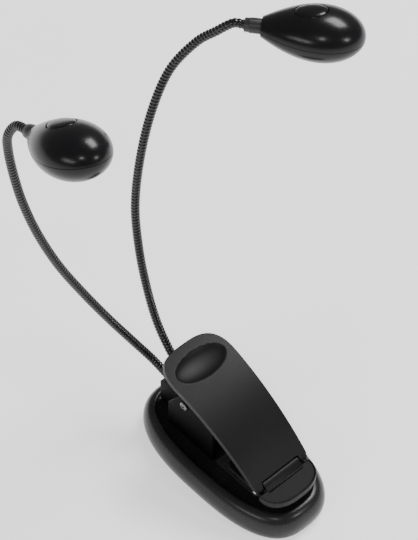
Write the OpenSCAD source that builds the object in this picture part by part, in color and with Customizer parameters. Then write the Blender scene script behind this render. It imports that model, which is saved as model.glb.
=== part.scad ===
// Clip-on reading lamp: battery base with a sprung clip, two goosenecks and two egg-shaped lamp heads.
// Millimetres. +X runs along the base towards the mouth of the clip, +Z is up, and the origin is
// the centre of the flat underside that the lamp stands on.

/* [Base] */
// Length of the base
base_l = 105; // [102:1:108]
// Width of the base at its middle
base_w = 52.8; // [52:0.2:56]
// Height of the rounded crest above the table
crest_h = 15; // [15:0.5:17]
// Distance from the widest outline in to the crest
crest_inset = 5.4; // [5:0.2:6]
// Wall thickness of the base shell
base_wall = 2; // [1.6:0.2:2.4]
// Squareness of the base outline: 2 is an ellipse, more is squarer
base_square = 2.65; // [2.4:0.05:3]

/* [Clip] */
// Height of the hinge line of the jaw foot
hinge_z = 24.8; // [24.6:0.1:25.2]
// Slope of the lever from the jaw up to the thumb end
lever_slope = 25.5; // [25:0.5:26.5]
// Length of the lever from the foot hinge to the thumb end
lever_l = 75.4; // [74:0.1:77]
// Rise of the lever's arched back above its chord
lever_bow = 6; // [5:0.5:7]
// Thickness of the lever's plate
lever_t = 3; // [2.6:0.2:3.4]
// Half-width of the lever at the foot hinge
lever_hw_hinge = 16.4; // [16:0.2:17]
// Half-width of the lever at the thumb end
lever_hw_thumb = 18.8; // [17:0.1:19]
// Length of the thumb hollow across the lever
thumb_l = 29; // [24:1:30]
// Width of the thumb hollow along the lever
thumb_w = 14; // [12:1:16]

/* [Necks] */
// Outside diameter of the flexible necks
neck_d = 4.4; // [4:0.1:4.5]
// Sides of each neck tube
neck_sides = 10; // [8:1:12]

/* [Heads] */
// Length of a lamp head, with its tail socket
head_l = 52.5; // [52:0.5:54]
// Width of a lamp head
head_w = 29.6; // [29.2:0.2:31]
// Thickness of a lamp head
head_t = 23.8; // [23.6:0.2:25]
// Wall thickness of the head shells
head_wall = 1.6; // [1.4:0.1:1.8]
// Length of the oval push button
button_l = 14.4; // [13:0.2:15]
// Width of the oval push button
button_w = 11.6; // [10:0.2:12]

/* [Batteries] */
// Diameter of an AAA cell
cell_d = 10.3; // [10.1:0.1:10.3]
// Length of an AAA cell with its nub
cell_l = 44.5; // [43.5:0.5:44.5]

/* [Hidden] */
SIDES = ["l", "r"];
NECK_PARTS = ["root", "bend_1", "lower", "bend_2", "middle", "bend_3", "upper", "bend_4", "tip"];
HEAD_PARTS = ["ferrule", "top_shell", "bottom_shell", "lens", "board", "leds", "switch", "button", "screws"];

$fn = 48;
eps = 0.01;
black_satin = [0.05, 0.05, 0.055];
black_matte = [0.10, 0.10, 0.11];
black_gloss = [0.03, 0.03, 0.035];
black_rubber = [0.07, 0.07, 0.07];
steel = [0.72, 0.72, 0.70];
copper_green = [0.10, 0.35, 0.18];

// Base: the widest outline is at bulge_z, and the tray inside the crest is at deck_z
bulge_z = 6;
deck_z = crest_h - 1.6;
deck_t = 1.4;
tray_inset = 11.6;
cover_t = 1.6;
shell_z = cover_t + 0.15;
cover_inset = 2.4;
outline_n = 48;

// Battery bay: cells side by side along Y, under the deck
cell_pitch = 10.8;
cell_z = deck_z - deck_t - cell_d / 2 - 0.1;
cell_ys = [-cell_pitch, 0, cell_pitch];
bay_x = cell_l / 2 + 3;
contact_t = 0.6;
door_hw = 17;
door_x0 = -28;
door_gap = 0.2;
screw_spots = [[-38, -11], [-38, 11], [20, -20.3], [20, 20.3]];
boss_r = 2.4;

// Ears of the clip, the lever's pivot and the cross screw of the neck block
ear_y0 = 10.2;
ear_y1 = 12.6;
pivot_x = -5;
pivot_z = 38.5;
pivot_r = 1.5;
pivot_bore_r = 1.55;
ear_r = 5;
cross_x = -19.5;
cross_z = 37.5;
cross_r = 1.5;
cross_bore_r = 1.55;

// Foot of the jaw
hinge_x = 32.4;
knuckle_r = 2.2;
barrel_hy = 11.2;
notch_y = 11.6;
knuckle_y = 11.9;
foot_pin_r = 0.9;
foot_bore_r = 0.95;
foot_top = 24.5;
foot_step = 20.3;
foot_low = 17.5;
foot_front = 47.3;
foot_hw = 16.1;
foot_rear = 9;

// Neck block: where its sloping face lies, and how deep the necks sit in it
neck_exit = [-40, 0, 32];
exit_tilt = 45;
root_depth = 6;
block_hw = 6.5;
neck_r = neck_d / 2;
neck_bore_r = neck_r + 0.05;

// Routes of the necks' centre lines, from the block to the heads
route_l = [[-40, -3.6, 32], [-48.6, -6.4, 40.1], [-56.3, -12.5, 52.8], [-62.8, -21, 70.4], [-67.9, -30.8, 92.1],
           [-71.8, -40.7, 116.1], [-74.7, -48.5, 140.6], [-77.2, -53.4, 163], [-79, -55.6, 181.4],
           [-79.6, -56.7, 196.1], [-78.1, -57.2, 207.1], [-73.579, -55.711, 215.283], [-65.3, -56, 218.8]];
route_r = [[-40, 3.6, 32], [-49.1, 3.5, 41.2], [-57.1, 3.3, 54.9], [-63.6, 3.6, 73.1], [-69, 4.3, 95.2],
           [-73.1, 6.4, 120], [-74.9, 11.8, 146.1], [-75.2, 19.8, 171.2], [-73.2, 28.9, 191.6],
           [-67.1, 38.7, 206], [-60.2, 44.6, 213.9], [-55.24, 49.822, 218.7], [-51.3, 52.9, 218.7]];
span_rings = 5;
// First and last ring of each part of a neck, in the order of NECK_PARTS
neck_rings = [[0, 2], [2, 8], [8, 17], [17, 23], [23, 31], [31, 37], [37, 44], [44, 50], [50, 60]];

// Heads: turn, lift and roll of each one
head_turn_l = [-2, 23, -8];
head_turn_r = [38, 0, -11];
tail_l = 9;
neck_depth = 7;
wide_x = 33.5;
parting_z = -0.3;
parting_tilt = 0.6;
button_x = 28.4;
button_travel = 0.8;
board_z = -5.2;
led_r = 1.5;
led_drop = 1.55;
lens_l = 19;
lens_w = 16;
post_x = 19;
post_ys = [-3.4, 3.4];

function hypot3(v) = sqrt(v * v);
function unit(v) = v / hypot3(v);
function sgn_pow(v, p) = sign(v) * pow(abs(v), p);

// Outline of the base, moved in by inset and placed at height z
function base_ring(inset, z) = [
    for (i = [0:outline_n - 1])
        let (t = 360 * i / outline_n)
        [(base_l / 2 - inset) * sgn_pow(cos(t), 2 / base_square),
         (base_w / 2 - inset) * sgn_pow(sin(t), 2 / base_square), z]];

// Point i of a smooth curve through the points of a route, with span_rings steps from point to point
function route_knot(p, i) = i < 0 ? 2 * p[0] - p[1]
    : i >= len(p) ? 2 * p[len(p) - 1] - p[len(p) - 2] : p[i];
function route_point(p, i) =
    let (k = min(floor(i / span_rings), len(p) - 2), t = i / span_rings - k,
         a = route_knot(p, k - 1), b = route_knot(p, k), c = route_knot(p, k + 1),
         d = route_knot(p, k + 2))
    0.5 * (2 * b + (c - a) * t + (2 * a - 5 * b + 4 * c - d) * t * t + (3 * b - a - 3 * c + d) * t * t * t);
function route_dir(p, i) = unit(route_point(p, i + 0.2) - route_point(p, i - 0.2));
function neck_ring(p, i) =
    let (c = route_point(p, i), d = route_dir(p, i), u = unit(cross([0, 1, 0], d)), v = cross(d, u))
    [for (k = [0:neck_sides - 1])
        let (t = 360 * k / neck_sides) c + neck_r * (u * cos(t) + v * sin(t))];

// Closed solid through rings of equal length
module loft(rings) {
    n = len(rings[0]);
    last = len(rings) - 1;
    points = [for (r = rings) for (q = r) q];
    sides = [for (i = [0:last - 1]) for (j = [0:n - 1])
        let (a = i * n + j, b = i * n + (j + 1) % n)
        each [[a, b + n, b], [a, a + n, b + n]]];
    caps = [[for (j = [0:n - 1]) j], [for (j = [n - 1:-1:0]) last * n + j]];
    polyhedron(points, concat(sides, caps));
}

// Prism along Y of a side-view outline given as [x, z] points
module side_prism(points, y0, y1) {
    translate([0, y1, 0]) rotate([90, 0, 0]) linear_extrude(y1 - y0) polygon(points);
}

// Cylinder along Y from y0 to y1, centred at x and z
module y_cyl(x, z, r, y0, y1) {
    translate([x, y0, z]) rotate([-90, 0, 0]) cylinder(r = r, h = y1 - y0);
}

module base_outer() {
    low = [for (a = [60:-30:0]) [1.6 * (1 - cos(a)), bulge_z - (bulge_z - shell_z) * sin(a) / sin(60)]];
    high = [for (a = [22.5:22.5:90]) [crest_inset * (1 - cos(a)), bulge_z + (crest_h - bulge_z) * sin(a)]];
    lip = [for (t = [0.12, 0.45, 0.75, 1])
        [crest_inset + (tray_inset - crest_inset) * t,
         deck_z + (crest_h - deck_z) * pow(min(1, 1.12 * (1 - t) + 0.01), 1.7)]];
    loft([for (q = concat(low, high, lip)) base_ring(q[0], q[1])]);
}

// Prism with the outline of the base, moved in by inset
module base_prism(inset, z0, z1) {
    translate([0, 0, z0]) linear_extrude(z1 - z0) polygon([for (q = base_ring(inset, 0)) [q[0], q[1]]]);
}

// One ear of the clip, seen from the side
module ear(y0, y1) {
    side_prism([[pivot_x + ear_r, deck_z - 1], [pivot_x + ear_r, pivot_z],
                [pivot_x + ear_r * cos(45), pivot_z + ear_r * sin(45)], [pivot_x, pivot_z + ear_r],
                [-14, 42.6], [-21, 41.4], [-23.3, 40.5], [-31.6, 29], [-31.6, deck_z - 1]], y0, y1);
}

module base_shell() {
    color(black_satin)
    difference() {
        union() {
            difference() {
                base_outer();
                base_prism(base_wall + 0.2, -1, bulge_z + 1.5);
                base_prism(base_wall + 2.2, bulge_z, deck_z - deck_t);
            }
            ear(ear_y0, ear_y1);
            ear(-ear_y1, -ear_y0);
            for (s = screw_spots)
                translate([s[0], s[1], shell_z]) cylinder(r = boss_r, h = deck_z - deck_t - shell_z + 0.4);
        }
        y_cyl(pivot_x, pivot_z, pivot_bore_r, -20, 20);
        y_cyl(cross_x, cross_z, cross_bore_r, -20, 20);
        for (s = screw_spots)
            translate([s[0], s[1], 0]) cylinder(r = 1.05, h = 9);
    }
}

module bottom_cover() {
    color(black_matte)
    difference() {
        base_prism(cover_inset, 0, cover_t);
        translate([door_x0, -door_hw, -1]) cube([base_l, 2 * door_hw, 4]);
        for (s = screw_spots) {
            translate([s[0], s[1], -1]) cylinder(r = 1.1, h = 4);
            translate([s[0], s[1], -1]) cylinder(r = 2.1, h = 1.9);
        }
    }
}

module battery_door() {
    grip_n = 4;
    color(black_matte)
    difference() {
        intersection() {
            base_prism(cover_inset, 0, cover_t - 0.1);
            translate([door_x0 + door_gap, -door_hw + door_gap, -1])
                cube([base_l, 2 * (door_hw - door_gap), 4]);
        }
        for (i = [0:grip_n - 1])
            translate([34 + 2.4 * i, -7, -1]) cube([1.1, 14, 1.5]);
    }
}

module battery_cell(i) {
    y = cell_ys[i];
    way = i == 1 ? -1 : 1;
    color([0.15, 0.30, 0.55])
    translate([-way * (cell_l / 2), y, cell_z]) rotate([0, way * 90, 0]) {
        cylinder(d = cell_d, h = cell_l - 1);
        cylinder(d = 3.8, h = cell_l);
    }
}

// Contact plates at both ends of the bay, standing on edge
module contact_plates() {
    color(steel)
    for (e = [-1, 1]) for (y = cell_ys)
        translate([e > 0 ? bay_x : -bay_x - contact_t, y - 4.6, cell_z - 4]) cube([contact_t, 9.2, 8]);
}

// Conical springs at the flat end of each cell, as one tapered sleeve each
module contact_springs() {
    h = bay_x - cell_l / 2 - 0.1;
    color(steel)
    for (i = [0:2]) {
        way = i == 1 ? 1 : -1;
        translate([way * bay_x, cell_ys[i], cell_z]) rotate([0, -way * 90, 0]) difference() {
            cylinder(r1 = 3.6, r2 = 2.2, h = h);
            translate([0, 0, -eps]) cylinder(r1 = 2.9, r2 = 1.5, h = h + 2 * eps);
        }
    }
}

module cover_screws() {
    color(steel)
    for (s = screw_spots) translate([s[0], s[1], 0.1]) {
        difference() {
            cylinder(r = 1.95, h = 0.8);
            for (a = [0, 90]) rotate([0, 0, a]) translate([-1.2, -0.2, -1]) cube([2.4, 0.4, 1.4]);
        }
        cylinder(r = 1, h = 7.5);
    }
}

// Plate with round corners, from [x0, y0] to [x1, y1]
module round_plate(x0, x1, hy, r, z0, z1) {
    translate([0, 0, z0]) linear_extrude(z1 - z0) union() {
        translate([x0 + r, -hy]) square([x1 - x0 - 2 * r, 2 * hy]);
        translate([x0, -hy + r]) square([x1 - x0, 2 * hy - 2 * r]);
        for (x = [x0 + r, x1 - r]) for (y = [-hy + r, hy - r]) translate([x, y]) circle(r = r);
    }
}

module base_pad() {
    rib_n = 6;
    color(black_rubber)
    difference() {
        round_plate(2, 29, 12, 3, deck_z, 15);
        for (i = [0:rib_n - 1]) translate([5 + 3.9 * i, -13, 14.5]) cube([1.4, 26, 1]);
    }
}

// Turns the Z axis onto the way a neck leaves the block
module exit_frame(route) {
    d = route_dir(route, 0);
    translate(route[0]) rotate([0, acos(d[2]), atan2(d[1], d[0])]) children();
}

module neck_block() {
    nose_x = -44;
    nose_x1 = -29.5;
    tongue_x1 = -15;
    slope = tan(exit_tilt);
    color(black_matte)
    difference() {
        union() {
            side_prism([[nose_x, deck_z + 1.6], [-38.6, deck_z], [nose_x1, deck_z],
                        [nose_x1, neck_exit[2] + 2.4],
                        [-37, neck_exit[2] + 3 * slope],
                        [nose_x, neck_exit[2] + (nose_x - neck_exit[0]) * slope]], -block_hw, block_hw);
            side_prism([[nose_x1 - 2, deck_z], [tongue_x1, deck_z], [tongue_x1, 40.4], [-23, 40.2],
                        [nose_x1 - 2, 28.6]], -ear_y0 + 0.1, ear_y0 - 0.1);
        }
        for (p = [route_l, route_r]) exit_frame(p)
            translate([0, 0, -root_depth - 0.3]) cylinder(r = neck_bore_r, h = 16);
        y_cyl(cross_x, cross_z, cross_bore_r, -20, 20);
    }
}

module block_screw() {
    head_h = 1.5;
    color(steel)
    difference() {
        union() {
            y_cyl(cross_x, cross_z, 2.4, -ear_y1 - head_h, -ear_y1 - eps);
            y_cyl(cross_x, cross_z, cross_r, -ear_y1 - 0.5, ear_y1 + 2.6);
        }
        for (a = [0, 90]) translate([cross_x, -ear_y1 - head_h - 0.2, cross_z]) rotate([0, a, 0])
            translate([-1.5, 0, -0.25]) cube([3, 0.9, 0.5]);
    }
}

module block_nut() {
    color(steel)
    translate([cross_x, ear_y1 + 2.1, cross_z]) rotate([90, 0, 0]) difference() {
        cylinder(r = 3.1, h = 2, $fn = 6);
        translate([0, 0, -1]) cylinder(r = cross_r + 0.02, h = 4, $fn = 48);
    }
}

// Lever frame: x along the chord from the foot hinge to the thumb end, z out of the lever's back
module lever_frame() {
    translate([hinge_x, 0, hinge_z]) rotate([0, lever_slope, 0]) rotate([0, 0, 180]) children();
}

// Half-width of the lever at distance x from the hinge
function lever_hw(x) =
    let (w = lever_hw_hinge + (lever_hw_thumb - lever_hw_hinge) * x / lever_l,
         q = max(0, (x - (lever_l - 20)) / 20))
    w * pow(1 - min(1, pow(q, 3.1)), 1 / 3.1);

module lever() {
    arc_r = (lever_l * lever_l / 4 + lever_bow * lever_bow) / (2 * lever_bow);
    arc_z = 2.2 + lever_bow - arc_r;
    xs = concat([0, 20, 40, lever_l - 20], [for (a = [10:8:90]) lever_l - 20 + 20 * sin(a)]);
    plan = concat([for (x = xs) [x, -lever_hw(x)]], [for (i = [len(xs) - 2:-1:0]) [xs[i], lever_hw(xs[i])]]);
    thumb_x = lever_l - 12.6;
    thumb_d = 2;
    thumb_tilt = asin((thumb_x - lever_l / 2) / arc_r);
    small_r = (thumb_w * thumb_w / 4 + thumb_d * thumb_d) / (2 * thumb_d);
    large_r = (thumb_l * thumb_l / 4 + thumb_d * thumb_d) / (2 * thumb_d);
    thumb_z = arc_z + sqrt(arc_r * arc_r - pow(thumb_x - lever_l / 2, 2));
    color(black_matte)
    difference() {
        union() {
            lever_frame() intersection() {
                difference() {
                    translate([lever_l / 2, 30, arc_z]) rotate([90, 0, 0])
                        cylinder(r = arc_r, h = 60, $fn = 180);
                    translate([lever_l / 2, 31, arc_z]) rotate([90, 0, 0])
                        cylinder(r = arc_r - lever_t, h = 62, $fn = 180);
                }
                translate([0, 0, -20]) linear_extrude(60) polygon(plan);
            }
            for (s = [-1, 1]) {
                y_cyl(hinge_x, hinge_z, knuckle_r, s > 0 ? knuckle_y : -16.1, s > 0 ? 16.1 : -knuckle_y);
                side_prism([[pivot_x - 4, pivot_z - 1.5], [pivot_x, pivot_z - 4.6], [pivot_x + 4, pivot_z - 1.5],
                            [4.5, 46.4], [-9, 51.4]], s > 0 ? 7.2 : -9.7, s > 0 ? 9.7 : -7.2);
            }
        }
        lever_frame() translate([thumb_x, 0, thumb_z]) rotate([0, thumb_tilt, 0])
            translate([0, 0, large_r - thumb_d]) rotate([0, 90, 0])
                rotate_extrude($fn = 96) translate([large_r - small_r, 0]) circle(r = small_r);
        y_cyl(hinge_x, hinge_z, knuckle_r + 1, -notch_y, notch_y);
        y_cyl(hinge_x, hinge_z, foot_bore_r, -20, 20);
        y_cyl(pivot_x, pivot_z, pivot_bore_r, -20, 20);
    }
}

module lever_pin() {
    color(steel) y_cyl(pivot_x, pivot_z, pivot_r, -ear_y1 - 0.2, ear_y1 + 0.2);
}

module torsion_spring() {
    wire_r = 0.7;
    coil_r = 3.9;
    color(steel)
    union() {
        difference() {
            y_cyl(pivot_x, pivot_z, coil_r + wire_r, -6.4, 6.4);
            y_cyl(pivot_x, pivot_z, coil_r - wire_r, -7, 7);
        }
        translate([pivot_x - coil_r, 5.6, deck_z + 0.1]) cylinder(r = wire_r, h = pivot_z - deck_z - 0.1);
        translate([pivot_x, -5.6, pivot_z + coil_r]) rotate([0, -62, 0]) cylinder(r = wire_r, h = 17.5);
    }
}

module jaw_foot() {
    front = [for (a = [-90:10:90])
        [hinge_x + 3.2 + (foot_front - hinge_x - 3.2) * sgn_pow(cos(a), 2 / 2.4),
         foot_hw * sgn_pow(sin(a), 2 / 2.6)]];
    color(black_matte)
    difference() {
        union() {
            translate([0, 0, foot_step - 0.2]) linear_extrude(foot_top - foot_step + 0.2) polygon(front);
            round_plate(foot_rear, 43, 13.2, 4, foot_low, foot_step);
            side_prism([[hinge_x - 1.9, foot_low + 1.2], [hinge_x + 5, foot_low + 1.2],
                        [hinge_x + 5, foot_top - 0.2], [hinge_x + 3.7, foot_top - 0.2],
                        [hinge_x + 1.3, hinge_z + 1.5], [hinge_x - 1.9, hinge_z + 0.2]], -barrel_hy, barrel_hy);
            y_cyl(hinge_x, hinge_z, knuckle_r, -barrel_hy, barrel_hy);
        }
        for (s = [-1, 1]) {
            y_cyl(hinge_x, hinge_z, knuckle_r + 0.4, s > 0 ? barrel_hy : -20, s > 0 ? 20 : -barrel_hy);
            translate([foot_rear, s > 0 ? barrel_hy : -20, foot_step])
                cube([hinge_x - foot_rear, 20 - barrel_hy, 10]);
        }
        y_cyl(hinge_x, hinge_z, foot_bore_r, -20, 20);
    }
}

module foot_pin() {
    color(steel) y_cyl(hinge_x, hinge_z, foot_pin_r, -16.3, 16.3);
}

module foot_pad() {
    rib_n = 5;
    color(black_rubber)
    difference() {
        round_plate(10, 38, 12, 3, 15.3, foot_low);
        for (i = [0:rib_n - 1]) translate([14 + 4.6 * i, -13, 15]) cube([1.4, 26, 0.9]);
    }
}

module neck_part(side, i) {
    route = side == "l" ? route_l : route_r;
    span = neck_rings[i];
    color(black_gloss)
    loft(concat(i == 0 ? [[for (q = neck_ring(route, 0)) q - root_depth * route_dir(route, 0)]] : [],
                [for (k = [span[0]:span[1]]) neck_ring(route, k)],
                i == 8 ? [[for (q = neck_ring(route, span[1])) q + neck_depth * route_dir(route, span[1])]] : []));
}

// Head frame: x from the tail to the nose, z out of the button side
module head_frame(side) {
    turn = side == "l" ? head_turn_l : head_turn_r;
    route = side == "l" ? route_l : route_r;
    translate(route[len(route) - 1]) rotate([0, 0, turn[0]]) rotate([0, -turn[1], 0]) rotate([turn[2], 0, 0])
        children();
}

// Size of the egg's section at distance x from the tail, from 0 to 1
function egg(x) = x < wide_x
    ? cos(90 * (wide_x - x) / 34)
    : sqrt(max(0, 1 - pow((x - wide_x) / (head_l - wide_x), 2)));
function egg_ring(x, wall, m = 28) = [
    for (i = [0:m - 1])
        let (t = 360 * i / m, s = egg(x))
        [x, (head_w / 2 * s - wall) * cos(t), (head_t / 2 * s - wall) * sin(t)]];

module egg_solid(wall) {
    tail_x = tail_l - 1.5 + wall;
    nose = [for (a = [0:12:72]) wide_x + (head_l - wide_x) * sin(a)];
    xs = concat([for (i = [0:7]) tail_x + (wide_x - tail_x) * i / 8], nose, [head_l - 0.35]);
    loft([for (x = xs) if (egg(x) * head_t / 2 > wall + 0.3) egg_ring(x, wall)]);
}

// Half-space above (or below) the sloping plane where the two shells meet
module parting_side(up, gap = 0) {
    rotate([0, parting_tilt, 0]) translate([-10, -30, up ? parting_z + gap : parting_z - 40 - gap])
        cube([90, 60, 40]);
}

module oval(l, w, n = 36) {
    polygon([for (i = [0:n - 1]) [l / 2 * cos(360 * i / n), w / 2 * sin(360 * i / n)]]);
}

module ferrule(side) {
    color(black_matte)
    head_frame(side) rotate([0, 90, 0]) difference() {
        cylinder(r = 3.4, h = tail_l + 1);
        translate([0, 0, -eps]) cylinder(r = neck_bore_r, h = neck_depth + 0.2);
    }
}

module top_shell(side) {
    color(black_gloss)
    head_frame(side) difference() {
        intersection() {
            egg_solid(0);
            parting_side(true);
        }
        egg_solid(head_wall);
        translate([button_x, 0, 0]) linear_extrude(20) oval(button_l + 0.5, button_w + 0.5);
        rotate([0, 90, 0]) cylinder(r = 3.45, h = tail_l + 1.1);
    }
}

module bottom_shell(side) {
    color(black_gloss)
    head_frame(side) difference() {
        union() {
            difference() {
                intersection() {
                    egg_solid(0);
                    parting_side(false, 0.02);
                }
                egg_solid(head_wall);
            }
            for (y = post_ys) translate([post_x, y, -7.5]) cylinder(r = 1.9, h = board_z + 7.45);
        }
        translate([wide_x, 0, -20]) linear_extrude(20) oval(lens_l, lens_w);
        rotate([0, 90, 0]) cylinder(r = 3.45, h = tail_l + 1.1);
        for (y = post_ys) translate([post_x, y, -20]) cylinder(r = 1, h = 30);
        for (y = post_ys) translate([post_x, y, -20]) cylinder(r = 1.8, h = 12.8);
    }
}

module lens(side) {
    color([0.85, 0.9, 0.95, 0.6])
    head_frame(side) translate([wide_x, 0, -9.8]) linear_extrude(1.3) oval(lens_l - 0.2, lens_w - 0.2);
}

module board(side) {
    color(copper_green)
    head_frame(side) translate([0, 0, board_z]) linear_extrude(1) difference() {
        translate([31, 0]) oval(33, 20);
        for (y = post_ys) translate([post_x, y]) circle(r = 1.3);
    }
}

module leds(side) {
    color([1, 1, 0.9])
    head_frame(side) for (y = [-4.5, 4.5]) translate([wide_x, y, board_z - led_drop]) {
        cylinder(r = led_r, h = led_drop);
        sphere(r = led_r);
    }
}

module switch(side) {
    color([0.2, 0.2, 0.2])
    head_frame(side) translate([button_x, 0, board_z + 1]) {
        translate([-3, -3, 0]) cube([6, 6, 3.5]);
        cylinder(r = 1.75, h = 6.2);
    }
}

module button(side) {
    dome_r = 26;
    top = head_t / 2 * egg(button_x) + 0.3;
    color(black_gloss)
    head_frame(side) {
        intersection() {
            translate([button_x, 0, top - 3.2]) linear_extrude(6) oval(button_l, button_w);
            translate([button_x, 0, top - dome_r]) sphere(r = dome_r, $fn = 64);
        }
        translate([button_x, 0, board_z + 7.5 + button_travel])
            cylinder(r = 1.6, h = top - 3.2 - board_z - 7.4 - button_travel);
    }
}

module head_screws(side) {
    color(steel)
    head_frame(side) for (y = post_ys) translate([post_x, y, -8]) {
        cylinder(r = 1.7, h = 0.8);
        cylinder(r = 0.95, h = 5.5);
    }
}

module head_part(side, part) {
    if (part == "ferrule") ferrule(side);
    if (part == "top_shell") top_shell(side);
    if (part == "bottom_shell") bottom_shell(side);
    if (part == "lens") lens(side);
    if (part == "board") board(side);
    if (part == "leds") leds(side);
    if (part == "switch") switch(side);
    if (part == "button") button(side);
    if (part == "screws") head_screws(side);
}

base_shell();
bottom_cover();
battery_door();
battery_cell(0);  // battery_cell_1
battery_cell(1);  // battery_cell_2
battery_cell(2);  // battery_cell_3
contact_plates();
contact_springs();
cover_screws();
base_pad();
neck_block();
block_screw();
block_nut();
lever();
lever_pin();
torsion_spring();
jaw_foot();
foot_pin();
foot_pad();
for (s = SIDES) for (i = [0:8]) neck_part(s, i);
for (s = SIDES) for (p = HEAD_PARTS) head_part(s, p);
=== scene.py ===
import math

import bmesh
import bpy
import numpy as np
from mathutils import Matrix, Vector


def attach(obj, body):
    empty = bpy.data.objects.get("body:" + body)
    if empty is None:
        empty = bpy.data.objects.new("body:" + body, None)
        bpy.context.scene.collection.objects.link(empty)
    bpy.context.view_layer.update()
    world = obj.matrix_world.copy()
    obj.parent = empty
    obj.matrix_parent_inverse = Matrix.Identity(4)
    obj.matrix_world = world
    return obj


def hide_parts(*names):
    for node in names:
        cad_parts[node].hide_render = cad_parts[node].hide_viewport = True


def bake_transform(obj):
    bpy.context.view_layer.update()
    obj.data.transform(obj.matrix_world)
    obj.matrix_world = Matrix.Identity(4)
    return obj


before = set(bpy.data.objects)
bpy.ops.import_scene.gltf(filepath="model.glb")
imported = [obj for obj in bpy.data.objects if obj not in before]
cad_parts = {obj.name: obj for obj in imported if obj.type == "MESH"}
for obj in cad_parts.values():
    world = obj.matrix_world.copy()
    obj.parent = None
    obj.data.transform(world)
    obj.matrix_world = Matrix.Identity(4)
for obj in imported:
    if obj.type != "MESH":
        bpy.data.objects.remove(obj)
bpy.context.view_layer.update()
MM = 0.001
# Radius at which a turned body closes on its axis
AXIS = 0.02


# ---------------------------------------------------------------- materials

def new_material(name):
    m = bpy.data.materials.new(name)
    m.use_nodes = True
    nt = m.node_tree
    return m, nt, nt.nodes["Principled BSDF"]


def node(nt, kind, **values):
    n = nt.nodes.new(kind)
    for k, v in values.items():
        if k in n.inputs:
            n.inputs[k].default_value = v
        else:
            setattr(n, k, v)
    return n


def ramp(nt, src, stops):
    r = nt.nodes.new("ShaderNodeValToRGB")
    while len(r.color_ramp.elements) < len(stops):
        r.color_ramp.elements.new(0.5)
    for e, (pos, col) in zip(r.color_ramp.elements, stops):
        e.position = pos
        e.color = (col, col, col, 1) if isinstance(col, (int, float)) else (*col, 1)
    nt.links.new(src, r.inputs["Fac"])
    return r


def moulded(name, dark, light, rough, grain, grain_depth, swirl, coat=0.0, spec=0.5, detail=4.0, swirl_detail=3.0):
    """Moulded plastic: slow tone drift, fine grain in roughness and in bump."""
    m, nt, bsdf = new_material(name)
    coord = nt.nodes.new("ShaderNodeTexCoord")
    slow = node(nt, "ShaderNodeTexNoise", Scale=swirl, Detail=swirl_detail)
    fine = node(nt, "ShaderNodeTexNoise", Scale=grain, Detail=detail)
    nt.links.new(coord.outputs["Object"], slow.inputs["Vector"])
    nt.links.new(coord.outputs["Object"], fine.inputs["Vector"])
    tone = ramp(nt, slow.outputs["Fac"], [(0.3, dark), (0.7, light)])
    nt.links.new(tone.outputs["Color"], bsdf.inputs["Base Color"])
    gloss = ramp(nt, fine.outputs["Fac"], [(0.3, rough[0]), (0.7, rough[1])])
    nt.links.new(gloss.outputs["Color"], bsdf.inputs["Roughness"])
    bump = node(nt, "ShaderNodeBump", Strength=1.0, Distance=grain_depth * MM)
    nt.links.new(fine.outputs["Fac"], bump.inputs["Height"])
    nt.links.new(bump.outputs["Normal"], bsdf.inputs["Normal"])
    bsdf.inputs["Specular IOR Level"].default_value = spec
    bsdf.inputs["Coat Weight"].default_value = coat
    bsdf.inputs["Coat Roughness"].default_value = 0.05
    return m


def metal(name, dark, light, rough):
    """Plated metal with fine drawn or turned marks."""
    m = moulded(name, dark, light, rough, 1800, 0.008, 220, detail=5.0, swirl_detail=2.0)
    m.node_tree.nodes["Principled BSDF"].inputs["Metallic"].default_value = 1.0
    return m


BASE = moulded("base_satin_black", (0.0100, 0.0100, 0.0108), (0.0150, 0.0150, 0.0162), (0.26, 0.29), 900, 0.0005, 45,
               spec=0.26, detail=2.0)
INNER = moulded("base_inner_black", (0.0022, 0.0022, 0.0025), (0.0036, 0.0036, 0.0040), (0.50, 0.62), 1300, 0.01, 50,
                spec=0.05)
COVER = moulded("cover_black", (0.010, 0.010, 0.0105), (0.017, 0.017, 0.018), (0.5, 0.65), 2200, 0.02, 60)
LEVER = moulded("textured_black", (0.0042, 0.0042, 0.0045), (0.0068, 0.0068, 0.0073), (0.38, 0.48), 1900, 0.03, 35,
                spec=0.185)
HEAD = moulded("head_gloss_black", (0.0028, 0.0028, 0.0034), (0.0050, 0.0050, 0.0060), (0.21, 0.27), 900, 0.0012, 50,
               spec=0.26, detail=2.0)
NECK = moulded("neck_coil_black", (0.005, 0.005, 0.0055), (0.010, 0.010, 0.011), (0.10, 0.17), 1600, 0.004, 90,
               spec=0.42)
TAIL = moulded("ferrule_black", (0.008, 0.008, 0.0085), (0.014, 0.014, 0.015), (0.35, 0.5), 1700, 0.012, 70)
RUBBER = moulded("pad_rubber", (0.010, 0.010, 0.010), (0.020, 0.020, 0.020), (0.7, 0.88), 1300, 0.05, 90)
STEEL = metal("plated_steel", (0.42, 0.42, 0.41), (0.60, 0.60, 0.58), (0.22, 0.38))
DARK_STEEL = metal("dark_steel", (0.13, 0.13, 0.125), (0.22, 0.22, 0.21), (0.28, 0.42))
CELL = moulded("cell_jacket", (0.05, 0.10, 0.26), (0.07, 0.14, 0.32), (0.25, 0.4), 900, 0.01, 30, coat=0.4)
BOARD = moulded("circuit_green", (0.010, 0.07, 0.03), (0.02, 0.11, 0.045), (0.3, 0.45), 700, 0.02, 160,
                coat=0.5)
LED = moulded("led_white", (0.75, 0.76, 0.66), (0.86, 0.86, 0.76), (0.12, 0.22), 900, 0.01, 120, coat=0.6)
SWITCH = moulded("switch_grey", (0.03, 0.03, 0.032), (0.05, 0.05, 0.052), (0.4, 0.55), 1500, 0.02, 120)


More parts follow.
